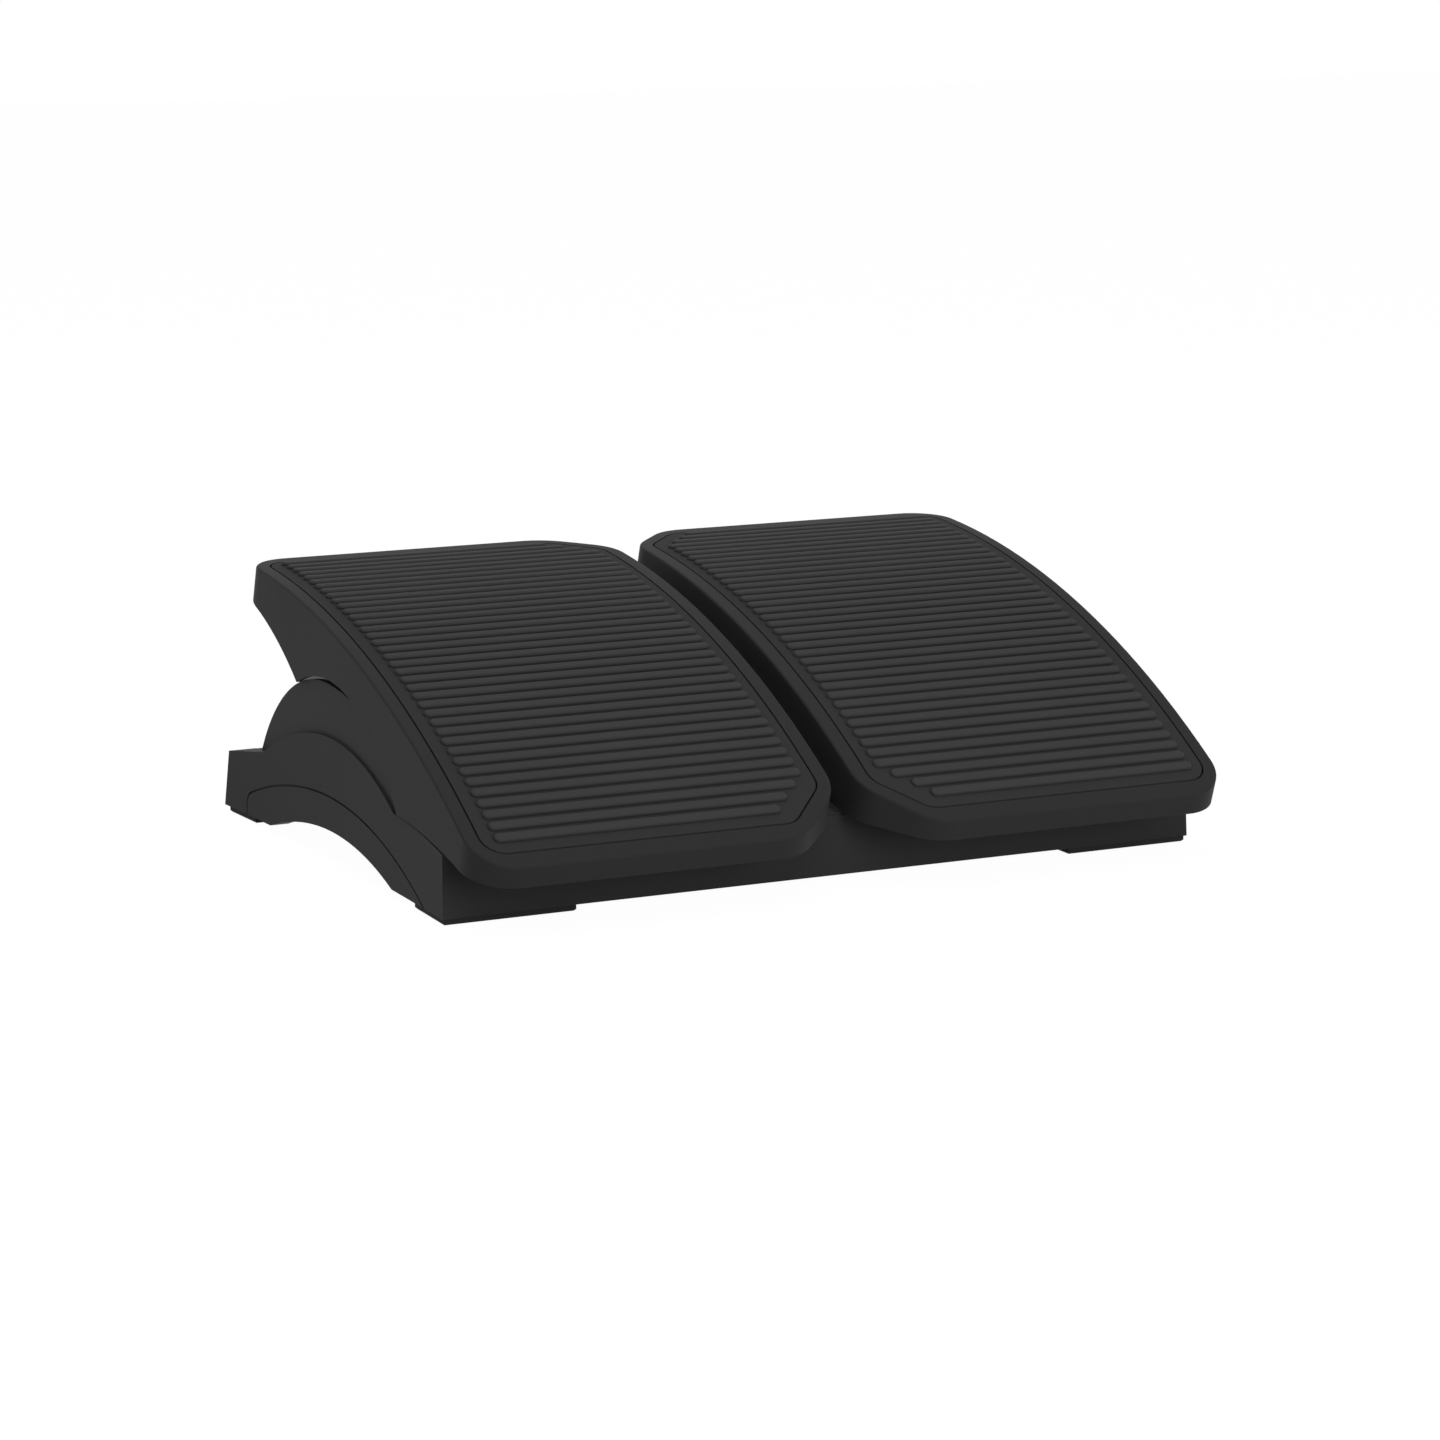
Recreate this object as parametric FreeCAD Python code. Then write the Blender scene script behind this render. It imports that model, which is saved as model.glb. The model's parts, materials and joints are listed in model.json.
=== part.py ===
"""Tilting under desk footrest: two rocking pedals on one moulded base. All sizes in millimetres.

Frame: +X towards the right pedal, +Y towards the rear, +Z up. The origin lies on the floor, under the
middle of the outer box. The pose is the rest pose: both pedals lean on their front buffers.
The right half is drawn; the left half is its mirror image.
"""
import FreeCAD, Part
import os
from math import asin, atan2, cos, degrees, radians, sin, sqrt, tan

V = FreeCAD.Vector

# Pedal plan, seen square to its chord
pedal_outer_x = 222.2
pedal_inner_x = 6.8
pedal_length = 356.2
outer_corner_radius = 24.0
inner_corner_chamfer = 32.0
chamfer_blend_radius = 30.0

# Pedal side view
tread_front_y = -179.7
tread_front_z = 38.2
rest_tilt = 17.87
tread_radius = 645.0
front_skirt_depth = 12.0
rear_skirt_depth = 18.3
skirt_wall = 2.6
top_plate = 2.8
rim_fillet = 1.4
front_edge_rise = 3.8
rear_edge_rise = 5.4
arch_foot_front_z = 45.5
arch_foot_rear_z = 91.5
arch_radius = 117.5
arch_forward = 9.7
arch_over_dome = 3.6

# Tread pad, in a pocket of the pedal shell
pocket_outer_margin = 7.6
pocket_inner_margin = 8.3
pocket_front_margin = 9.9
pocket_rear_margin = 9.8
pocket_corner_radius = 13.0
pocket_chamfer = 24.9
pocket_blend_radius = 14.0
pad_thickness = 3.0
pad_side_gap = 1.0
rib_pitch = 8.64
rib_width = 6.1
rib_height = 2.0
rib_round = 1.7
rib_root = 0.6
rib_outer_margin = 15.4
rib_inner_margin = 15.0
rib_rear_margin = 19.8
rib_front_margin = 21.0
short_rib_steps = [22.9, 15.4, 6.5]

# Pivot of a pedal
axle_y = 38.0
axle_z = 78.0
axle_radius = 5.0
axle_end_gap = 0.3
bush_clearance = 0.05
bush_wall = 2.0
bush_flange_radius = 10.5
bush_flange = 1.6
bush_tail = 5.0
washer_radius = 10.0
washer_thickness = 1.2
side_play = 0.25
tilt_range = 20.0
stop_radius = 24.0
stop_pin_radius = 3.0
stop_pin_clearance = 0.4
stop_pin_tail = 4.0
stop_pin_seat = 7.0

# Hinge ribs and cross bars under a pedal
hinge_rib_thickness = 3.0
hinge_rib_depth = 12.0
outer_rib_end_margin = 16.0
outer_lug_radius = 33.0
inner_lug_radius = 17.0
neck_share = 0.85
outer_gusset_half = 84.0
inner_gusset_half = 24.0
gusset_rise = 2.0
front_bar_share = 0.2
middle_bar_share = 0.41
rear_bar_share = 0.84
bar_thickness = 4.0
bar_depth = 12.0
boss_radius = 4.5
boss_height = 8.0
boss_root = 0.6
tab_length = 15.0
tab_reach = 13.0
tab_thickness = 3.0
tab_hole_offset = 7.5
tab_shares = [0.12, 0.5, 0.88]

# Screws
pedal_screw_radius = 1.6
pedal_screw_head_radius = 3.4
pedal_screw_head_height = 2.4
pedal_screw_grip = 6.0
frame_screw_radius = 2.0
frame_screw_head_radius = 4.0
frame_screw_head_height = 2.8
frame_screw_grip = 6.5
screw_hole_clearance = 0.2
screw_hole_relief = 0.8

# Base
base_bottom_z = 3.5
base_front_y = -133.3
base_rear_y = 179.3
front_flare = 1.2
rear_flare = 7.6
side_waist = 4.1
side_draft = 1.3
front_draft = 2.6
rear_draft = 9.8
base_wall = 3.2
rail_depth = 46.0
end_block_width = 10.8
rail_edge_round = 1.0
rail_end_wall = 6.0
rail_core_half = 14.0
rail_rib_pitch = 40.0
rail_rib = 2.4
front_rail_top_z = 36.6
rear_rail_top_z = 35.9
wall_under_skirt_gap = 1.0
frame_screw_spacing = 18.0
frame_screw_z = 20.0

# Side frame outline
hump_y = 31.0
hump_crest_z = 68.5
hump_radius = 190.0
hump_rear_z = 43.8
cut_out_y = 27.8
cut_out_crest_z = 17.3
cut_out_radius = 281.5
groove_y = 34.5
groove_crest_z = 36.6
groove_radius = 320.0
groove_rear_y = 148.6
groove_corner = 9.0
groove_width = 1.1
groove_depth = 1.2
dome_y = 41.2
dome_crest_z = 97.4
dome_radius = 122.6
dome_front_radius = 200.0
dome_side_gap = 0.4
dome_wall = 4.0
dome_foot_z = 36.0

# Axle blocks on the inside of the domes
block_thickness = 9.0
block_half_width = 23.0
block_above = 15.0
block_below = 34.0
block_corner = 6.0
block_screw_inset = 6.5
block_screw_grip = 3.2

# Centre bearer
bearer_half = 5.0
bearer_web_half = 2.0
bearer_bottom_z = 7.0
bearer_top_z = 30.0
bearer_flange = 4.0
bearer_head_radius = 15.0
bearer_boss_half = 10.0
bearer_boss_radius = 10.0
bearer_tower_half = 52.0
bearer_foot_half = 13.0
bearer_screw_x = 9.0

# Front stop buffers
buffer_radius = 8.0
buffer_height = 8.0
buffer_stem_radius = 3.5
buffer_gap = 0.4
buffer_inset = 30.0

# Feet
front_foot_length = 41.2
rear_foot_length = 36.0
front_foot_setback = 1.6
rear_foot_setback = 5.0
foot_width = 74.5
foot_inset = 1.0
foot_round = 1.0
foot_stud_radius = 3.0
foot_stud_height = 5.0
foot_stud_places = [10.0, 42.0]

# Blocks drawn larger than any piece, to cut with
BIG = 400.0

# The chord of the tread in the side view: u runs to the rear, w is square to it and points up.
chord_u = V(0, cos(radians(rest_tilt)), sin(radians(rest_tilt)))
chord_w = V(0, -sin(radians(rest_tilt)), cos(radians(rest_tilt)))
tread_front = V(0, tread_front_y, tread_front_z)
tread_rear = tread_front + chord_u * pedal_length
chord_depth = sqrt(tread_radius**2 - (pedal_length / 2)**2)
tread_axis = tread_front + chord_u * (pedal_length / 2) - chord_w * chord_depth
plate_radius = tread_radius - pad_thickness - top_plate
tread_arc = 2 * tread_radius * asin(pedal_length / (2 * tread_radius))
rib_count = int((tread_arc - rib_rear_margin - rib_front_margin) / rib_pitch) + 1
axle = V(0, axle_y, axle_z)

# Planes across the pivot, from the outside in
dome_outer_x = pedal_outer_x - skirt_wall - dome_side_gap
dome_inner_x = dome_outer_x - dome_wall
block_inner_x = dome_inner_x - block_thickness
outer_flange_x = block_inner_x - washer_thickness - side_play
outer_rib_x = outer_flange_x - bush_flange - hinge_rib_thickness
inner_flange_x = bearer_boss_half + washer_thickness + side_play
inner_rib_x = inner_flange_x + bush_flange

# The base follows the width of the pedals
front_half_width = pedal_outer_x + front_flare
rear_half_width = pedal_outer_x + rear_flare
rail_joint_x = front_half_width - end_block_width
front_rail_inner_y = base_front_y + rail_depth
rear_rail_inner_y = base_rear_y - rail_depth


def box(x0, x1, y0, y1, z0, z1):
    return Part.makeBox(x1 - x0, y1 - y0, z1 - z0, V(x0, y0, z0))


def rod_x(radius, centre, x0, x1):
    """Cylinder along X, round a point of the side view."""
    return Part.makeCylinder(radius, x1 - x0, V(x0, centre.y, centre.z), V(1, 0, 0))


def side_prism(points, x0, x1):
    """Prism along X over a polygon of the side view, given as (y, z) pairs."""
    corners = [V(x0, y, z) for y, z in points]
    return Part.Face(Part.makePolygon(corners + corners[:1])).extrude(V(x1 - x0, 0, 0))


def mirrored(shape):
    return shape.mirror(V(0, 0, 0), V(1, 0, 0))


def joined(shapes):
    return shapes[0].fuse(shapes[1:])


def rounded_loop(points, radii):
    """Closed outline with each corner rounded by its own radius."""
    starts = []
    middles = []
    ends = []
    for i, here in enumerate(points):
        to_before = (points[i - 1] - here).normalize()
        to_after = (points[(i + 1) % len(points)] - here).normalize()
        half = to_before.getAngle(to_after) / 2
        bisector = (to_before + to_after).normalize()
        starts.append(here + to_before * (radii[i] / tan(half)))
        middles.append(here + bisector * (radii[i] / sin(half) - radii[i]))
        ends.append(here + to_after * (radii[i] / tan(half)))
    edges = []
    for i in range(len(points)):
        edges.append(Part.Arc(starts[i], middles[i], ends[i]).toShape())
        edges.append(Part.makeLine(ends[i], starts[(i + 1) % len(points)]))
    return Part.Wire(edges)


def chord_point(x, u, w):
    """Point given by its place across the pedal, along its chord and above the chord."""
    return V(x, 0, 0) + tread_front + chord_u * u + chord_w * w


def pedal_prism(x0, x1, u0, u1, chamfer, corner, blend):
    """Prism square to the chord over a pedal outline: round outer corners, chamfered inner ones."""
    corners = [(x1, u0), (x1, u1), (x0 + chamfer, u1), (x0, u1 - chamfer), (x0, u0 + chamfer), (x0 + chamfer, u0)]
    points = [chord_point(x, u, -BIG / 4) for x, u in corners]
    wire = rounded_loop(points, [corner, corner, blend, blend, blend, blend])
    return Part.Face(wire).extrude(chord_w * (BIG / 2))


def drawn_in(chamfer, inset):
    """Leg of a corner chamfer when the outline is drawn in by an even inset."""
    return chamfer - inset * (2 - sqrt(2))


def tread_drum(radius, x0=0.0, x1=BIG):
    return rod_x(radius, tread_axis, x0, x1)


def on_tread(shape, arc_from_rear):
    """Turn a shape drawn on top of a tread drum at the origin to its place along the arc."""
    rear_angle = atan2(tread_rear.y - tread_axis.y, tread_rear.z - tread_axis.z)
    placed = shape.copy()
    placed.rotate(V(0, 0, 0), V(1, 0, 0), degrees(arc_from_rear / tread_radius - rear_angle))
    placed.translate(tread_axis)
    return placed


def circle_over(a, b, rise):
    """Centre and radius of the arc that joins two points of the side view and rises over their chord."""
    half = (b - a).Length / 2
    radius = (half**2 + rise**2) / (2 * rise)
    along = (b - a).normalize()
    up = V(0, -along.z, along.y)
    return (a + b) * 0.5 - up * (radius - rise), radius


# Lower edge of the pedal skirt: an arch over the dome and a shallow arc on each side of it
dome_centre = V(0, dome_y, dome_crest_z - dome_radius)
arch_centre = V(0, dome_y - arch_forward, dome_crest_z + arch_over_dome - arch_radius)
arch_front_run = sqrt(arch_radius**2 - (arch_foot_front_z - arch_centre.z)**2)
arch_rear_run = sqrt(arch_radius**2 - (arch_foot_rear_z - arch_centre.z)**2)
arch_foot_front = V(0, arch_centre.y - arch_front_run, arch_foot_front_z)
arch_foot_rear = V(0, arch_centre.y + arch_rear_run, arch_foot_rear_z)
front_low = tread_front - chord_w * front_skirt_depth
rear_low = tread_rear - chord_w * rear_skirt_depth
front_edge_centre, front_edge_radius = circle_over(front_low, arch_foot_front, front_edge_rise)
rear_edge_centre, rear_edge_radius = circle_over(arch_foot_rear, rear_low, rear_edge_rise)


def pedal_shell():
    """Moulded pedal: curved plate with skirts, pad pocket and screw bosses."""
    body = pedal_prism(pedal_inner_x, pedal_outer_x, 0, pedal_length, inner_corner_chamfer,
                       outer_corner_radius, chamfer_blend_radius)
    body = body.common(tread_drum(tread_radius))
    lower = [rod_x(front_edge_radius, front_edge_centre, 0, BIG), rod_x(arch_radius, arch_centre, 0, BIG),
             rod_x(rear_edge_radius, rear_edge_centre, 0, BIG)]
    body = body.cut(lower)
    tread = [face for face in body.Faces if is_drum_face(face, tread_radius)]
    body = body.makeFillet(rim_fillet, tread[0].OuterWire.Edges)
    hollow = pedal_prism(pedal_inner_x + skirt_wall, pedal_outer_x - skirt_wall, skirt_wall,
                         pedal_length - skirt_wall, drawn_in(inner_corner_chamfer, skirt_wall),
                         outer_corner_radius - skirt_wall, chamfer_blend_radius - skirt_wall)
    body = body.cut(hollow.common(tread_drum(plate_radius)))
    body = body.cut(pad_prism(0).cut(tread_drum(tread_radius - pad_thickness)))
    body = body.fuse([boss for boss in tab_bosses()])
    return body.cut([hole for hole in boss_holes()])


def is_drum_face(face, radius):
    return hasattr(face.Surface, "Radius") and abs(face.Surface.Radius - radius) < 1e-4


def pad_prism(gap):
    return pedal_prism(pedal_inner_x + pocket_inner_margin + gap, pedal_outer_x - pocket_outer_margin - gap,
                       pocket_front_margin + gap, pedal_length - pocket_rear_margin - gap,
                       drawn_in(pocket_chamfer, gap), pocket_corner_radius - gap, pocket_blend_radius - gap)


def tread_pad():
    """Rubber pad that fills the pocket, with raised round-ended ribs across it."""
    pad = pad_prism(pad_side_gap).common(tread_drum(tread_radius))
    pad = pad.cut(tread_drum(tread_radius - pad_thickness))
    ribs = []
    for i in range(rib_count):
        from_end = min(i, rib_count - 1 - i)
        step = short_rib_steps[from_end] if from_end < len(short_rib_steps) else 0.0
        ribs.append(on_tread(tread_rib(step), rib_rear_margin + i * rib_pitch))
    return pad.fuse(ribs)


def tread_rib(step):
    """One raised bar with half-round ends, drawn on top of the drum at the origin."""
    x0 = pedal_inner_x + rib_inner_margin + step
    x1 = pedal_outer_x - rib_outer_margin
    half = rib_width / 2
    z = tread_radius - rib_root
    left = Part.Arc(V(x0 + half, half, z), V(x0, 0, z), V(x0 + half, -half, z)).toShape()
    right = Part.Arc(V(x1 - half, -half, z), V(x1, 0, z), V(x1 - half, half, z)).toShape()
    front = Part.makeLine(V(x0 + half, -half, z), V(x1 - half, -half, z))
    rear = Part.makeLine(V(x1 - half, half, z), V(x0 + half, half, z))
    bar = Part.Face(Part.Wire([left, front, right, rear])).extrude(V(0, 0, rib_root + rib_height))
    top = [face for face in bar.Faces if face.CenterOfMass.z > tread_radius + rib_height - 1e-3]
    return bar.makeFillet(rib_round, top[0].Edges)


def tab_places():
    """Screw axis and rib face of each tab, as (x of the axis, x of the rib face, arc from the rear)."""
    places = []
    for arc in [share * tread_arc for share in tab_shares]:
        places.append((outer_rib_x - tab_hole_offset, outer_rib_x, arc))
        inner_face = inner_rib_x + hinge_rib_thickness
        places.append((inner_face + tab_hole_offset, inner_face, arc))
    return places


def tab_rod(radius, z0, z1):
    """The same round bar at each tab, along the local normal of the tread."""
    rods = []
    for x, _, arc in tab_places():
        rods.append(on_tread(Part.makeCylinder(radius, z1 - z0, V(x, 0, z0)), arc))
    return rods


tab_top = plate_radius - boss_height
tab_bottom = tab_top - tab_thickness


def tab_bosses():
    return tab_rod(boss_radius, tab_top, plate_radius + boss_root)


def boss_holes():
    return tab_rod(pedal_screw_radius, tab_top, tab_top + pedal_screw_grip + screw_hole_relief)


def hinge_tabs(rib_face, side):
    """Tabs of one hinge rib; side is +1 where they reach towards +X."""
    tabs = []
    for x, face, arc in tab_places():
        if face != rib_face:
            continue
        x0 = min(face, face + side * tab_reach)
        tab = box(x0, x0 + tab_reach, -tab_length / 2, tab_length / 2, tab_bottom, tab_top)
        hole = Part.makeCylinder(pedal_screw_radius + screw_hole_clearance, BIG, V(x, 0, tab_bottom - BIG / 2))
        tabs.append(on_tread(tab.cut(hole), arc))
    return tabs


def hinge_rib(x0, end_margin, lug_radius, gusset_half, tabs):
    """Curved rib under the plate, with a gusset and lug down to the axle and tabs for the screws."""
    x1 = x0 + hinge_rib_thickness
    limits = Part.makeBox(x1 - x0, pedal_length - 2 * end_margin, BIG)
    limits.rotate(V(0, 0, 0), V(1, 0, 0), rest_tilt)
    limits.translate(chord_point(x0, end_margin, -BIG / 2))
    band = tread_drum(plate_radius, x0, x1).cut(tread_drum(plate_radius - hinge_rib_depth, x0, x1))
    band = band.common(limits)
    half = neck_share * lug_radius
    low = axle_z + gusset_rise
    neck = side_prism([(axle_y - half, axle_z), (axle_y + half, axle_z), (axle_y + gusset_half, low),
                       (axle_y + gusset_half, BIG), (axle_y - gusset_half, BIG),
                       (axle_y - gusset_half, low)], x0, x1).common(tread_drum(plate_radius, x0, x1))
    rib = joined([band, neck, rod_x(lug_radius, axle, x0, x1)] + tabs)
    return rib.cut(rod_x(axle_radius + bush_clearance + bush_wall, axle, x0, x1))


def outer_hinge_rib():
    tabs = hinge_tabs(outer_rib_x, -1)
    rib = hinge_rib(outer_rib_x, outer_rib_end_margin, outer_lug_radius, outer_gusset_half, tabs)
    return rib.cut(stop_slot())


def inner_hinge_rib():
    tabs = hinge_tabs(inner_rib_x + hinge_rib_thickness, 1)
    return hinge_rib(inner_rib_x, inner_corner_chamfer, inner_lug_radius, inner_gusset_half, tabs)


def stop_slot():
    """Curved slot about the axle: the fixed pin meets one end at rest and the other at full tilt."""
    reach = stop_pin_radius + stop_pin_clearance

    def at(radius, angle):
        return V(outer_rib_x, axle_y + radius * sin(radians(angle)), axle_z - radius * cos(radians(angle)))

    def beyond(angle, side):
        along = V(0, cos(radians(angle)), sin(radians(angle)))
        return at(stop_radius, angle) + along * (side * reach)

    outer = Part.Arc(at(stop_radius + reach, 0), at(stop_radius + reach, tilt_range / 2),
                     at(stop_radius + reach, tilt_range)).toShape()
    rear = Part.Arc(at(stop_radius + reach, tilt_range), beyond(tilt_range, 1),
                    at(stop_radius - reach, tilt_range)).toShape()
    inner = Part.Arc(at(stop_radius - reach, tilt_range), at(stop_radius - reach, tilt_range / 2),
                     at(stop_radius - reach, 0)).toShape()
    front = Part.Arc(at(stop_radius - reach, 0), beyond(0, -1), at(stop_radius + reach, 0)).toShape()
    return Part.Face(Part.Wire([outer, rear, inner, front])).extrude(V(hinge_rib_thickness, 0, 0))


def drum_height(y, radius):
    return tread_axis.z + sqrt(radius**2 - (y - tread_axis.y)**2)


def bar_y(share):
    return tread_front.y + share * (tread_rear.y - tread_front.y)


front_bar_y = bar_y(front_bar_share)


def cross_bars():
    """Three bars between the hinge ribs; the front one reaches down to the buffers."""
    x0 = inner_rib_x + hinge_rib_thickness
    bars = []
    for y in (front_bar_y, bar_y(middle_bar_share), bar_y(rear_bar_share)):
        low = drum_height(y, plate_radius) - bar_depth
        if y == front_bar_y:
            low = front_rail_top_z + buffer_height + buffer_gap
        bar = box(x0, outer_rib_x, y - bar_thickness / 2, y + bar_thickness / 2, low, BIG)
        bars.append(bar.common(tread_drum(plate_radius, x0, outer_rib_x)))
    return Part.makeCompound(bars)


def pivot_bushes():
    """Flanged bushes, one through each hinge rib."""
    bore = axle_radius + bush_clearance
    bushes = []
    for flange_x, side in ((outer_flange_x, -1), (inner_flange_x, 1)):
        ends = [flange_x, flange_x + side * bush_flange]
        flange = rod_x(bush_flange_radius, axle, min(ends), max(ends))
        tail = flange_x + side * (bush_flange + hinge_rib_thickness + bush_tail)
        barrel = rod_x(bore + bush_wall, axle, min(flange_x, tail), max(flange_x, tail))
        bushes.append(flange.fuse(barrel).cut(rod_x(bore, axle, 0, BIG)))
    return Part.makeCompound(bushes)


def pedal_screws():
    heads = tab_rod(pedal_screw_head_radius, tab_bottom - pedal_screw_head_height, tab_bottom)
    shanks = tab_rod(pedal_screw_radius, tab_bottom, tab_top + pedal_screw_grip)
    return Part.makeCompound([head.fuse(shank) for head, shank in zip(heads, shanks)])


# Plan curve of the side walls, at the bottom of the base
wall_front = V(front_half_width, base_front_y, 0)
wall_rear = V(rear_half_width, base_rear_y, 0)
wall_waist = (wall_front + wall_rear) * 0.5 - V(side_waist, 0, 0)
wall_circle = Part.Arc(wall_front, wall_waist, wall_rear).toShape().Curve
wall_centre = wall_circle.Center
wall_radius = wall_circle.Radius


def half_width(y, z=base_bottom_z, inset=0.0):
    """Outer face of the side wall: flared in plan by the curve, drawn in upwards by the draft."""
    flare = wall_centre.x + sqrt(wall_radius**2 - (y - wall_centre.y)**2) * (1 if wall_centre.x < 0 else -1)
    return flare - (z - base_bottom_z) * tan(radians(side_draft)) - inset


def wall_block(inset):
    """Everything inside the side wall's outer face, drawn in by an inset."""
    loops = []
    for z in (0.0, dome_crest_z):
        y0 = base_front_y - base_wall
        y1 = base_rear_y + base_wall
        points = [V(half_width(y, z, inset), y, z) for y in (y0, (y0 + y1) / 2, y1)]
        corners = [points[2], V(0, y1, z), V(0, y0, z), points[0]]
        sides = [Part.makeLine(a, b) for a, b in zip(corners, corners[1:])]
        loops.append(Part.Wire([Part.Arc(*points).toShape()] + sides))
    return Part.makeLoft(loops, True, True)


def front_lean(z):
    return (z - base_bottom_z) * tan(radians(front_draft))


def rear_lean(z):
    return (z - base_bottom_z) * tan(radians(rear_draft))


def side_outline():
    """Side view of the base wall: hump, front lip under the skirt and rear slope."""
    hump_centre = V(0, hump_y, hump_crest_z - hump_radius)
    hump_rear_y = hump_y + sqrt(hump_radius**2 - (hump_rear_z - hump_centre.z)**2)
    hump = rod_x(hump_radius, hump_centre, 0, BIG)
    lip = rod_x(front_edge_radius - wall_under_skirt_gap, front_edge_centre, 0, BIG)
    lip = lip.common(box(0, BIG, -BIG, hump_y, -BIG, BIG))
    rear_top_y = base_rear_y - rear_lean(rear_rail_top_z)
    slope = (hump_rear_z - rear_rail_top_z) / (rear_top_y - hump_rear_y)
    rear = side_prism([(hump_y, -BIG), (BIG, -BIG), (BIG, rear_rail_top_z - slope * (BIG - rear_top_y)),
                       (hump_rear_y, hump_rear_z), (hump_y, hump_rear_z)], 0, BIG)
    top = dome_crest_z
    ends = side_prism([(base_front_y, base_bottom_z), (base_rear_y, base_bottom_z),
                       (base_rear_y - rear_lean(top), top), (base_front_y + front_lean(top), top)], 0, BIG)
    return joined([hump, lip, rear]).common(ends)


def dome():
    """Round plate behind the skirt; its front half is flatter, so that the skirt always covers its edge."""
    front_centre = V(0, dome_y, dome_crest_z - dome_front_radius)
    front = rod_x(dome_front_radius, front_centre, dome_inner_x, dome_outer_x)
    plate = rod_x(dome_radius, dome_centre, dome_inner_x, dome_outer_x)
    plate = plate.fuse(front.common(box(0, BIG, -BIG, dome_y, -BIG, BIG)))
    return plate.common(box(0, BIG, -BIG, BIG, dome_foot_z, BIG))


def groove_disc(inset):
    """Solid inside the groove line, drawn in by an inset: a large disc with a rounded rear corner."""
    centre = V(0, groove_y, groove_crest_z - groove_radius)
    disc = rod_x(groove_radius - inset, centre, 0, BIG)
    disc = disc.common(box(0, BIG, -BIG, groove_rear_y - inset, 0, BIG))
    corner = [edge for edge in disc.Edges if is_rear_corner(edge, inset)]
    return disc.makeFillet(groove_corner - inset, corner)


def is_rear_corner(edge, inset):
    middle = edge.CenterOfMass
    return abs(middle.y - groove_rear_y + inset) < 1e-4 and abs(middle.x - BIG / 2) < 1e-4 and middle.z > 1.0


def side_frame():
    """Side wall with its arch and groove, blocks at both ends and the dome that carries the axle."""
    body = side_outline().common(wall_block(0))
    cut_out_centre = V(0, cut_out_y, cut_out_crest_z - cut_out_radius)
    body = body.cut(rod_x(cut_out_radius, cut_out_centre, 0, BIG))
    keep = [box(rail_joint_x, BIG, -BIG, front_rail_inner_y, -BIG, BIG),
            box(dome_inner_x, BIG, front_rail_inner_y, rear_rail_inner_y, -BIG, BIG),
            box(rail_joint_x, BIG, rear_rail_inner_y, BIG, -BIG, BIG)]
    body = body.common(joined(keep))
    groove = groove_disc(0).cut(groove_disc(groove_width)).cut(wall_block(groove_depth))
    body = body.cut(groove)
    body = body.fuse(dome())
    return body.cut(frame_screw_holes() + block_screw_holes() + foot_studs())


def rail_cells():
    """Hollow cells between the ribs of the right half of a rail, as (x0, x1) pairs."""
    x0 = rail_core_half
    span = rail_joint_x - rail_end_wall - x0
    count = round(span / rail_rib_pitch)
    width = (span - (count - 1) * rail_rib) / count
    return [(x0 + i * (width + rail_rib), x0 + i * (width + rail_rib) + width) for i in range(count)]


def rail(corners, inner_y, foot_x):
    """Right half of a cross rail: ribbed cells, open below, or open to the inside over the feet."""
    points = [V(0, y, z) for y, z in corners]
    body = Part.Face(rounded_loop(points, [rail_edge_round] * 4)).extrude(V(rail_joint_x, 0, 0))
    low = base_bottom_z + base_wall
    high = corners[2][1] - base_wall
    front_y = max(corners[0][0], corners[3][0]) + base_wall
    rear_y = min(corners[1][0], corners[2][0]) - base_wall
    for x0, x1 in rail_cells():
        if x1 < foot_x:
            cell = box(x0, x1, front_y, rear_y, -BIG, high)
        elif inner_y > rear_y:
            cell = box(x0, x1, front_y, BIG, low, high)
        else:
            cell = box(x0, x1, -BIG, rear_y, low, high)
        body = body.cut(cell)
    return body


def whole(half):
    return half.fuse(mirrored(half)).removeSplitter()


def front_rail():
    top = front_rail_top_z
    corners = [(base_front_y, base_bottom_z), (front_rail_inner_y, base_bottom_z), (front_rail_inner_y, top),
               (base_front_y + front_lean(top), top)]
    half = rail(corners, front_rail_inner_y, foot_inner_x(foot_spans()["front"]))
    half = half.cut(frame_screw_holes() + foot_studs() + bearer_screw_holes() + buffer_stems())
    return whole(half)


def rear_rail():
    top = rear_rail_top_z
    corners = [(rear_rail_inner_y, base_bottom_z), (base_rear_y, base_bottom_z),
               (base_rear_y - rear_lean(top), top), (rear_rail_inner_y, top)]
    half = rail(corners, rear_rail_inner_y, foot_inner_x(foot_spans()["rear"]))
    return whole(half.cut(frame_screw_holes() + foot_studs() + bearer_screw_holes()))


def frame_screw_places():
    """Screws along X from the rail ends into the side frames, as (y, z) pairs."""
    middles = (base_front_y + rail_depth / 2, base_rear_y - rail_depth / 2)
    return [(y + side * frame_screw_spacing / 2, frame_screw_z) for y in middles for side in (-1, 1)]


def frame_screw_holes():
    x0 = rail_joint_x - rail_end_wall
    x1 = rail_joint_x + frame_screw_grip + screw_hole_relief
    return [rod_x(frame_screw_radius, V(0, y, z), x0, x1) for y, z in frame_screw_places()]


def frame_screws():
    """Pan-head screws that hold the rails to the side frames."""
    x0 = rail_joint_x - rail_end_wall
    screws = []
    for y, z in frame_screw_places():
        head = rod_x(frame_screw_head_radius, V(0, y, z), x0 - frame_screw_head_height, x0)
        shank = rod_x(frame_screw_radius, V(0, y, z), x0, rail_joint_x + frame_screw_grip)
        screws.append(head.fuse(shank))
    return Part.makeCompound(screws + [mirrored(screw) for screw in screws])


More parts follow.
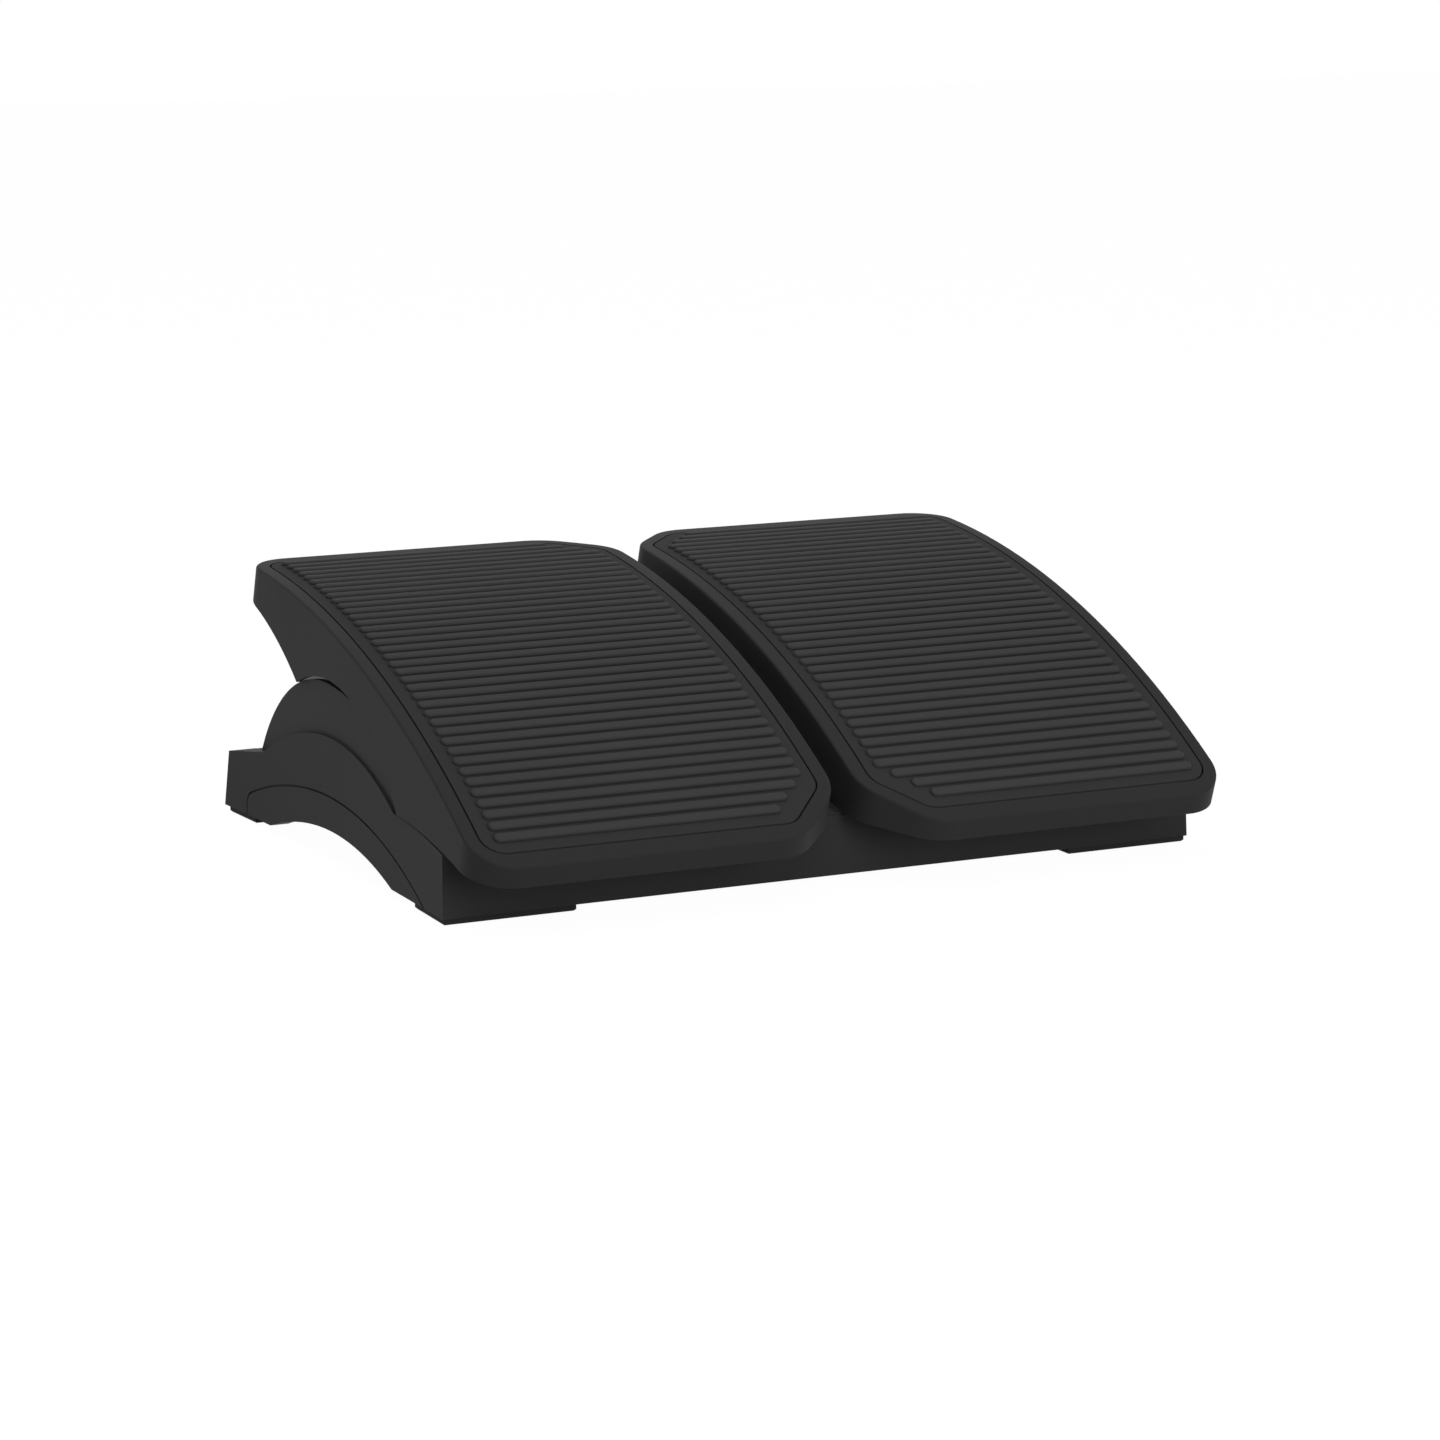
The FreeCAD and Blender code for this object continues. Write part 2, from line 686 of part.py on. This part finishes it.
def block_screw_places():
    y = block_half_width - block_screw_inset
    zs = (axle_z + block_above - block_screw_inset, axle_z - block_below + block_screw_inset)
    return [(axle_y + side * y, z) for side in (-1, 1) for z in zs]


def block_screw_holes():
    x1 = dome_inner_x + block_screw_grip
    return [rod_x(frame_screw_radius, V(0, y, z), block_inner_x, x1) for y, z in block_screw_places()]


def block_screws():
    """Pan-head screws that hold the axle blocks to the domes."""
    screws = []
    for y, z in block_screw_places():
        head = rod_x(frame_screw_head_radius, V(0, y, z), block_inner_x,
                     block_inner_x + frame_screw_head_height)
        shank = rod_x(frame_screw_radius, V(0, y, z), block_inner_x, dome_inner_x + block_screw_grip)
        screws.append(head.fuse(shank))
    return Part.makeCompound(screws + [mirrored(screw) for screw in screws])


def axle_block():
    """Bearing block inside the dome: blind seat for the axle and for the stop pin, sunk screw heads."""
    y0 = axle_y - block_half_width
    y1 = axle_y + block_half_width
    z0 = axle_z - block_below
    z1 = axle_z + block_above
    corners = [V(block_inner_x, y, z) for y, z in ((y0, z0), (y1, z0), (y1, z1), (y0, z1))]
    body = Part.Face(rounded_loop(corners, [block_corner] * 4)).extrude(V(block_thickness, 0, 0))
    sinks = [rod_x(frame_screw_head_radius, V(0, y, z), block_inner_x, block_inner_x + frame_screw_head_height)
             for y, z in block_screw_places()]
    seats = [rod_x(axle_radius, axle, 0, BIG), stop_pin()]
    return body.cut(block_screw_holes() + sinks + seats)


def stop_pin():
    """Steel pin below the axle that rides in the slot of the outer hinge rib."""
    centre = V(0, axle_y, axle_z - stop_radius)
    return rod_x(stop_pin_radius, centre, outer_rib_x - stop_pin_tail, block_inner_x + stop_pin_seat)


def axle_rod():
    end = dome_inner_x - axle_end_gap
    return rod_x(axle_radius, axle, -end, end)


def thrust_washers():
    """Washers on the axle beside each axle block and beside the boss of the bearer."""
    washers = []
    for x0 in (block_inner_x - washer_thickness, bearer_boss_half):
        disc = rod_x(washer_radius, axle, x0, x0 + washer_thickness)
        washers.append(disc.cut(rod_x(axle_radius, axle, 0, BIG)))
    return Part.makeCompound(washers + [mirrored(washer) for washer in washers])


def centre_bearer():
    """Beam from rail to rail with a tower in the middle that holds the axle between the pedals."""
    y0 = front_rail_inner_y
    y1 = rear_rail_inner_y
    beam = box(-bearer_half, bearer_half, y0, y1, bearer_bottom_z, bearer_top_z)
    tower = side_prism([(axle_y - bearer_tower_half, bearer_top_z), (axle_y + bearer_tower_half, bearer_top_z),
                        (axle_y + bearer_head_radius, axle_z), (axle_y - bearer_head_radius, axle_z)],
                       -bearer_half, bearer_half)
    feet = [box(-bearer_foot_half, bearer_foot_half, y, y + bearer_flange, bearer_bottom_z, bearer_top_z)
            for y in (y0, y1 - bearer_flange)]
    head = rod_x(bearer_head_radius, axle, -bearer_half, bearer_half)
    boss = rod_x(bearer_boss_radius, axle, -bearer_boss_half, bearer_boss_half)
    body = joined([beam, tower, head, boss] + feet)
    low = bearer_bottom_z + bearer_flange
    high = bearer_top_z - bearer_flange
    spans = [(y0 + 2 * bearer_flange, axle_y - bearer_tower_half), (axle_y + bearer_tower_half, y1 - 2 * bearer_flange)]
    pockets = []
    for a, b in spans:
        pockets.append(box(bearer_web_half, bearer_half, a, b, low, high))
        pockets.append(box(-bearer_half, -bearer_web_half, a, b, low, high))
    holes = bearer_screw_holes() + [mirrored(hole) for hole in bearer_screw_holes()]
    return body.cut(pockets + holes + [rod_x(axle_radius, axle, -BIG, BIG)])


def bearer_screw_places():
    """Screws along Y through the bearer's feet into the rails, as (y of the head, direction) pairs."""
    return [(front_rail_inner_y + bearer_flange, -1), (rear_rail_inner_y - bearer_flange, 1)]


def rod_y(radius, x, z, y0, y1):
    return Part.makeCylinder(radius, abs(y1 - y0), V(x, min(y0, y1), z), V(0, 1, 0))


def bearer_screw_holes():
    z = (bearer_bottom_z + bearer_top_z) / 2
    reach = bearer_flange + frame_screw_grip + screw_hole_relief
    return [rod_y(frame_screw_radius, bearer_screw_x, z, y, y + way * reach) for y, way in bearer_screw_places()]


def bearer_screws():
    """Pan-head screws that hold the centre bearer to the rails."""
    z = (bearer_bottom_z + bearer_top_z) / 2
    reach = bearer_flange + frame_screw_grip
    screws = []
    for y, way in bearer_screw_places():
        head = rod_y(frame_screw_head_radius, bearer_screw_x, z, y, y - way * frame_screw_head_height)
        screws.append(head.fuse(rod_y(frame_screw_radius, bearer_screw_x, z, y, y + way * reach)))
    return Part.makeCompound(screws + [mirrored(screw) for screw in screws])


def buffer_places():
    return [inner_rib_x + hinge_rib_thickness + buffer_inset, outer_rib_x - buffer_inset]


def buffer_stems():
    z0 = front_rail_top_z - base_wall
    return [Part.makeCylinder(buffer_stem_radius, base_wall, V(x, front_bar_y, z0)) for x in buffer_places()]


def front_buffers():
    """Rubber buffers on the front rail: a pedal's front bar comes down on them."""
    buffers = []
    for x, stem in zip(buffer_places(), buffer_stems()):
        head = Part.makeCylinder(buffer_radius, buffer_height, V(x, front_bar_y, front_rail_top_z))
        buffers.append(head.fuse(stem))
    return Part.makeCompound(buffers + [mirrored(buffer) for buffer in buffers])


def foot_spans():
    """Front and rear edge of each foot on the right side."""
    front = base_front_y + front_foot_setback
    rear = base_rear_y - rear_foot_setback
    return {"front": (front, front + front_foot_length), "rear": (rear - rear_foot_length, rear)}


def foot_inner_x(span):
    return half_width(span[0]) - foot_inset - foot_width


def studs_of(span):
    y = (span[0] + span[1]) / 2
    return [Part.makeCylinder(foot_stud_radius, foot_stud_height, V(foot_inner_x(span) + place, y, base_bottom_z))
            for place in foot_stud_places]


def foot_studs():
    return [stud for span in foot_spans().values() for stud in studs_of(span)]


def foot(span):
    """Rubber foot: flat pad along the side wall, pushed into the base with two studs."""
    y0, y1 = span
    corners = [(foot_inner_x(span), y0), (half_width(y0) - foot_inset, y0), (half_width(y1) - foot_inset, y1),
               (foot_inner_x(span), y1)]
    points = [V(x, y, 0) for x, y in corners]
    pad = Part.Face(Part.makePolygon(points + points[:1])).extrude(V(0, 0, base_bottom_z))
    sole = [face for face in pad.Faces if face.CenterOfMass.z < 1e-6]
    pad = pad.makeChamfer(foot_round, sole[0].Edges)
    return pad.fuse(studs_of(span))


def save(name, shape):
    if not shape.isValid():
        raise ValueError(name + " is not a valid shape")
    shape.exportStep("parts/" + name + ".step")
    box_of = shape.BoundBox
    print(f"{name}: {len(shape.Solids)} solids, {shape.Volume / 1000:.2f} cm3, "
          f"x {box_of.XMin:.1f}..{box_of.XMax:.1f} y {box_of.YMin:.1f}..{box_of.YMax:.1f} "
          f"z {box_of.ZMin:.1f}..{box_of.ZMax:.1f}")


def save_pair(name, shape):
    save("right_" + name, shape)
    save("left_" + name, mirrored(shape))


os.makedirs("parts", exist_ok=True)

save_pair("side_frame", side_frame())
save("front_rail", front_rail())
save("rear_rail", rear_rail())
save("centre_bearer", centre_bearer())
save("axle_rod", axle_rod())
save("thrust_washers", thrust_washers())
save_pair("axle_block", axle_block())
save_pair("stop_pin", stop_pin())
save("axle_block_screws", block_screws())
save("frame_screws", frame_screws())
save("bearer_screws", bearer_screws())
save("front_buffers", front_buffers())
for end, span in foot_spans().items():
    save(end + "_right_foot", foot(span))
    save(end + "_left_foot", mirrored(foot(span)))
save_pair("pedal_shell", pedal_shell())
save_pair("tread_pad", tread_pad())
save_pair("outer_hinge_rib", outer_hinge_rib())
save_pair("inner_hinge_rib", inner_hinge_rib())
save_pair("cross_bars", cross_bars())
save_pair("pivot_bushes", pivot_bushes())
save_pair("pedal_screws", pedal_screws())
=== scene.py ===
# %% [markdown]
# # Tilting under desk footrest
# Two curved foot pedals rock side by side on one steel axle. The pedals lean on a low black base with
# arched sides. Every piece comes from the fixed frame, in metres, with +X to the right pedal, +Y to the
# rear and +Z up. This file gives the pieces their finishes, and sets up the floor, the lights and the
# camera.

# %% Load the frame
import bpy, bmesh
import json
from math import radians
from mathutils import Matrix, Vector

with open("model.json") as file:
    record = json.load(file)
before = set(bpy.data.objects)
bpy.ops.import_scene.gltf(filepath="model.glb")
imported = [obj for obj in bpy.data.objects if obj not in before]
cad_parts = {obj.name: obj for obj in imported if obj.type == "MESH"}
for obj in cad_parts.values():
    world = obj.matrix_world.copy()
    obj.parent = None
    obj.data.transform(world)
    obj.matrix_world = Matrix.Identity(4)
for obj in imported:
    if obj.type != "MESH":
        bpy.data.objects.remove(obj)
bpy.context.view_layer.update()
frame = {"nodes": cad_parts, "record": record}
nodes = frame["nodes"]
print("pieces in the frame:", len(nodes))

# %% [markdown]
# ## Shader maths
# A finish is easier to read as a sum than as a tangle of boxes, so one small class wraps a socket and
# lets Python's own operators add the Math nodes. Any other node comes from the method `node`, which
# takes its type, its settings and the values or links of its sockets.

# %% A socket that can be calculated with
class Value:
    def __init__(self, finish, socket):
        self.finish = finish
        self.socket = socket

    def maths(self, operation, *others):
        return self.finish.node("ShaderNodeMath", {"operation": operation}, self, *others)

    def __add__(self, other):
        return self.maths("ADD", other)

    def __radd__(self, other):
        return self + other

    def __sub__(self, other):
        return self.maths("SUBTRACT", other)

    def __rsub__(self, other):
        return self * -1 + other

    def __mul__(self, other):
        return self.maths("MULTIPLY", other)

    def __rmul__(self, other):
        return self * other

    def power(self, other):
        return self.maths("POWER", other)

    def between(self, low, high):
        """0 below low, 1 above high, and a smooth step in between."""
        settings = {"interpolation_type": "SMOOTHSTEP"}
        return self.finish.node("ShaderNodeMapRange", settings, self, low, high, 0.0, 1.0)


class Finish:
    """A material and the nodes that are added to it."""
    def __init__(self, name, **sockets):
        self.material = bpy.data.materials.new(name)
        self.material.use_nodes = True
        self.tree = self.material.node_tree
        self.shader = self.tree.nodes["Principled BSDF"]
        self.coords = self.tree.nodes.new("ShaderNodeTexCoord").outputs["Object"]
        for socket, value in sockets.items():
            self.put(socket.replace("_", " "), value)

    def node(self, kind, settings, *inputs, out=0, **named):
        new = self.tree.nodes.new(kind)
        for name, value in settings.items():
            setattr(new, name, value)
        for socket, value in zip(new.inputs, inputs):
            self.connect(socket, value)
        for name, value in named.items():
            self.connect(new.inputs[name], value)
        return Value(self, new.outputs[out])

    def connect(self, socket, value):
        if isinstance(value, Value):
            self.tree.links.new(value.socket, socket)
        elif isinstance(value, bpy.types.NodeSocket):
            self.tree.links.new(value, socket)
        else:
            socket.default_value = value

    def put(self, name, value):
        self.connect(self.shader.inputs[name], value)

    def noise(self, scale, detail):
        """Cloudy noise between 0 and 1; scale counts the clouds in a metre."""
        return self.node("ShaderNodeTexNoise", {}, Vector=self.coords, Scale=scale, Detail=detail)

    def blend(self, amount, dark, light):
        """Colour between two colours."""
        new = self.tree.nodes.new("ShaderNodeMix")
        new.data_type = "RGBA"
        self.connect(new.inputs[0], amount)
        self.connect(new.inputs[6], (*dark, 1.0))
        self.connect(new.inputs[7], (*light, 1.0))
        return Value(self, new.outputs[2])

    def around(self, amount, level, spread):
        """Grey that varies by a share, spread, to both sides of a level."""
        return self.blend(amount, grey(level * (1 - spread)), grey(level * (1 + spread)))

    def grain(self, height, depth, strength):
        """Surface relief: height runs from 0 to 1 over a depth in metres."""
        self.put("Normal", self.node("ShaderNodeBump", {}, Strength=strength, Distance=depth, Height=height))


blue_tint = 1.01


def grey(level):
    return (level, level, level * blue_tint)

# %% [markdown]
# ## Moulded black plastic
# The pedals and the base are injection moulded, and the steel mould is spark-eroded, which leaves an
# even, very fine grain that kills the gloss. A cloudy difference in roughness a hand wide comes from
# the way the melt cooled. Both are noise on Object coordinates, so they stay put when a pedal tilts.

# %% Plastic finishes
cooling_clouds = 9.0
mould_specks = 1500.0
mould_grain_depth = 0.00006
smooth_grain_depth = 0.00002


def moulded(name, level, roughness, grain_depth=mould_grain_depth):
    finish = Finish(name, Specular_IOR_Level=0.07)
    clouds = finish.noise(cooling_clouds, 3.0)
    specks = finish.noise(mould_specks, 2.0)
    finish.put("Base Color", finish.around(clouds * 0.6 + specks * 0.4, level, 0.12))
    finish.put("Roughness", clouds * 0.10 + specks * 0.06 + (roughness - 0.08))
    finish.grain(specks, grain_depth, 0.5)
    return finish.material


pedal_plastic = moulded("pedal moulding black", level=0.0315, roughness=0.6)
base_plastic = moulded("base moulding black", level=0.037, roughness=0.62)
bearing_plastic = moulded("bearing plastic grey", level=0.055, roughness=0.45,
                          grain_depth=smooth_grain_depth)
print("plastic finishes ready")

# %% [markdown]
# ## Tread rubber
# The pad is a softer, slightly lighter rubber. Shoes polish the crests of its ribs, so the crests are
# less rough. The colour also carries painted light: a painted highlight makes the crests lighter and
# painted shade makes the floor between them darker. The pad is bent round one axis, so a point's distance
# from that axis, less the radius of the pad, is its height, and the polish and the painted light follow
# every rib from one formula.

# %% Rubber finishes
tread_axis = Vector((0.0, 0.18006, -0.49721))
tread_radius = 0.645
# Height band of the rib crests, used for the painted highlight in the colour and for the real polish in the
# roughness.
crest_highlight_and_polish_start = 0.0006
crest_highlight_and_polish_end = 0.0019
# Painted shade for the floor between the ribs, and a painted highlight for the rib crests.
painted_valley_shade = 0.036
painted_crest_highlight = 0.064
shoe_clouds = 14.0
tread_specks = 2200.0
tread_grain_depth = 0.00005


def tread_finish():
    finish = Finish("tread rubber charcoal", Specular_IOR_Level=0.06)
    y = finish.node("ShaderNodeSeparateXYZ", {}, finish.coords, out=1) - tread_axis.y
    z = finish.node("ShaderNodeSeparateXYZ", {}, finish.coords, out=2) - tread_axis.z
    height = (y * y + z * z).power(0.5) - tread_radius
    # Crest mask: in the colour it paints a highlight on the crests and shade between the ribs, and in the
    # roughness it is the real polish.
    crest_highlight_and_polish = height.between(crest_highlight_and_polish_start, crest_highlight_and_polish_end)
    clouds = finish.noise(shoe_clouds, 3.0)
    specks = finish.noise(tread_specks, 2.0)
    # Random tone from the clouds and specks, plus painted light from the crest mask.
    tone_and_painted_light = clouds * 0.25 + specks * 0.25 + crest_highlight_and_polish * 0.5
    finish.put("Base Color", finish.blend(tone_and_painted_light, grey(painted_valley_shade), grey(painted_crest_highlight)))
    finish.put("Roughness", 0.72 - crest_highlight_and_polish * 0.12 + specks * 0.06)
    finish.grain(specks, tread_grain_depth, 0.4)
    return finish.material


foot_specks = 900.0
foot_grain_depth = 0.00008


def plain_rubber(name, level):
    finish = Finish(name, Specular_IOR_Level=0.1)
    specks = finish.noise(foot_specks, 3.0)
    finish.put("Base Color", finish.around(specks, level, 0.15))
    finish.put("Roughness", specks * 0.12 + 0.70)
    finish.grain(specks, foot_grain_depth, 0.5)
    return finish.material


tread_rubber = tread_finish()
foot_rubber = plain_rubber("foot rubber black", level=0.03)
print("rubber finishes ready")

# %% [markdown]
# ## Metals
# The hinge ribs are steel sheet under a black powder coat, whose slight orange peel is a soft noise.
# The axle and pins are drawn bar: fine lines run along them, so the noise is stretched along X. The
# zinc on the screws has no direction, so its noise is the same size all ways.

# %% Metal finishes
coat_peel = 700.0
coat_peel_depth = 0.00004
lines_along_x = (40.0, 2500.0, 2500.0)
even_specks = (1200.0, 1200.0, 1200.0)
metal_line_depth = 0.00002


def powder_coat():
    finish = Finish("powder coat black", Specular_IOR_Level=0.4)
    peel = finish.noise(coat_peel, 1.0)
    finish.put("Base Color", finish.blend(peel, grey(0.024), grey(0.032)))
    finish.put("Roughness", peel * 0.10 + 0.42)
    finish.grain(peel, coat_peel_depth, 0.5)
    return finish.material


def bare_metal(name, level, lines_in_a_metre):
    finish = Finish(name)
    mapping = finish.node("ShaderNodeMapping", {}, finish.coords, Scale=lines_in_a_metre)
    lines = finish.node("ShaderNodeTexNoise", {}, Vector=mapping, Scale=1.0, Detail=2.0)
    finish.put("Base Color", finish.around(lines, level, 0.1))
    finish.put("Metallic", 1.0)
    finish.put("Roughness", lines * 0.15 + 0.25)
    finish.grain(lines, metal_line_depth, 0.4)
    return finish.material


black_steel = powder_coat()
bright_steel = bare_metal("drawn steel", 0.55, lines_along_x)
zinc = bare_metal("zinc plate", 0.48, even_specks)
print("metal finishes ready")

# %% [markdown]
# ## Put the finishes on
# The record names a material slot for every piece, so the finish of a piece follows from its slot.

# %% Finish of every carried-over piece
finish_of = {"base_plastic": base_plastic, "pedal_plastic": pedal_plastic, "tread_rubber": tread_rubber,
             "foot_rubber": foot_rubber, "bearing_plastic": bearing_plastic, "black_steel": black_steel,
             "steel": bright_steel, "zinc_screws": zinc}
for part in frame["record"]["subparts"]:
    slots = nodes[part["node"]].material_slots
    for slot in slots:
        slot.material = finish_of[part["material_slot"]]
    print(part["node"], "->", part["material_slot"], len(slots))

# %% [markdown]
# ## Floor, light and camera
# The photograph is a studio shot on white: bright all round, hardly any shadow, and no face much
# lighter than another. A dim white world gives that even light. A broad lamp above lifts the treads a
# little, one high in front reaches the slopes of the pedals, and a low one keeps the base's front as
# light as it is there. What only a camera, a reflection or glass sees of the floor and the world is
# white, so the background is white and gloss mirrors it, while the floor still takes the contact
# shadow.

# %% What the eye and reflections see
def seen_directly(tree, low, high):
    """Nodes that give high for camera, glossy and transmission rays, and low for all others."""
    path = tree.nodes.new("ShaderNodeLightPath")
    total = path.outputs["Is Camera Ray"]
    for name in ("Is Glossy Ray", "Is Transmission Ray"):
        either = tree.nodes.new("ShaderNodeMath")
        either.operation = "MAXIMUM"
        tree.links.new(total, either.inputs[0])
        tree.links.new(path.outputs[name], either.inputs[1])
        total = either.outputs[0]
    span = tree.nodes.new("ShaderNodeMapRange")
    span.inputs["To Min"].default_value = low
    span.inputs["To Max"].default_value = high
    tree.links.new(total, span.inputs["Value"])
    return span.outputs[0]

# %% Floor
floor_half_size = 8.0
floor_gap = 0.0003
floor_colour = (0.9, 0.9, 0.9, 1.0)
glow_share = 0.93
glow_strength = 1.05


def floor():
    mesh = bmesh.new()
    bmesh.ops.create_grid(mesh, x_segments=1, y_segments=1, size=floor_half_size)
    data = bpy.data.meshes.new("floor")
    mesh.to_mesh(data)
    mesh.free()
    plane = bpy.data.objects.new("floor", data)
    bpy.context.scene.collection.objects.link(plane)
    plane.location.z = -floor_gap
    material = bpy.data.materials.new("pale floor")
    material.use_nodes = True
    tree = material.node_tree
    tree.nodes.clear()
    out = tree.nodes.new("ShaderNodeOutputMaterial")
    mix = tree.nodes.new("ShaderNodeMixShader")
    diffuse = tree.nodes.new("ShaderNodeBsdfDiffuse")
    diffuse.inputs["Color"].default_value = floor_colour
    glow = tree.nodes.new("ShaderNodeEmission")
    glow.inputs["Strength"].default_value = glow_strength
    tree.links.new(seen_directly(tree, 0.0, glow_share), mix.inputs[0])
    tree.links.new(diffuse.outputs[0], mix.inputs[1])
    tree.links.new(glow.outputs[0], mix.inputs[2])
    tree.links.new(mix.outputs[0], out.inputs["Surface"])
    data.materials.append(material)


floor()

# %% World and lamps
world_strength = 0.23
lit_point = Vector((0.0, 0.0, 0.1))


def world_light(strength):
    world = bpy.data.worlds.new("studio")
    bpy.context.scene.world = world
    world.use_nodes = True
    tree = world.node_tree
    background = tree.nodes["Background"]
    background.inputs["Color"].default_value = (1.0, 1.0, 1.0, 1.0)
    tree.links.new(seen_directly(tree, strength, 1.0), background.inputs["Strength"])


def lamp(name, place, size, power):
    light = bpy.data.lights.new(name, "AREA")
    light.shape = "DISK"
    light.size = size
    light.energy = power
    holder = bpy.data.objects.new(name, light)
    bpy.context.scene.collection.objects.link(holder)
    holder.location = place
    holder.rotation_euler = (lit_point - Vector(place)).to_track_quat("-Z", "Y").to_euler()


world_light(world_strength)
lamp("overhead", place=(-0.5, -0.2, 2.6), size=2.4, power=17.0)
lamp("front high", place=(-0.8, -2.2, 2.2), size=2.0, power=9.0)
lamp("front low", place=(0.8, -2.8, 0.5), size=1.6, power=26.0)

# %% Camera
eye_place = (-1.0155, -2.0757, 0.5213)
look_down = 11.19
look_right = 26.08


def camera():
    data = bpy.data.cameras.new("camera")
    data.lens = 105.41
    data.sensor_width = 36.0
    data.shift_x = -0.00105
    data.shift_y = 0.0007
    eye = bpy.data.objects.new("camera", data)
    eye.location = eye_place
    eye.rotation_euler = (radians(90 - look_down), 0.0, radians(-look_right))
    bpy.context.scene.collection.objects.link(eye)
    bpy.context.scene.camera = eye


camera()
bpy.context.scene.view_settings.view_transform = "Standard"
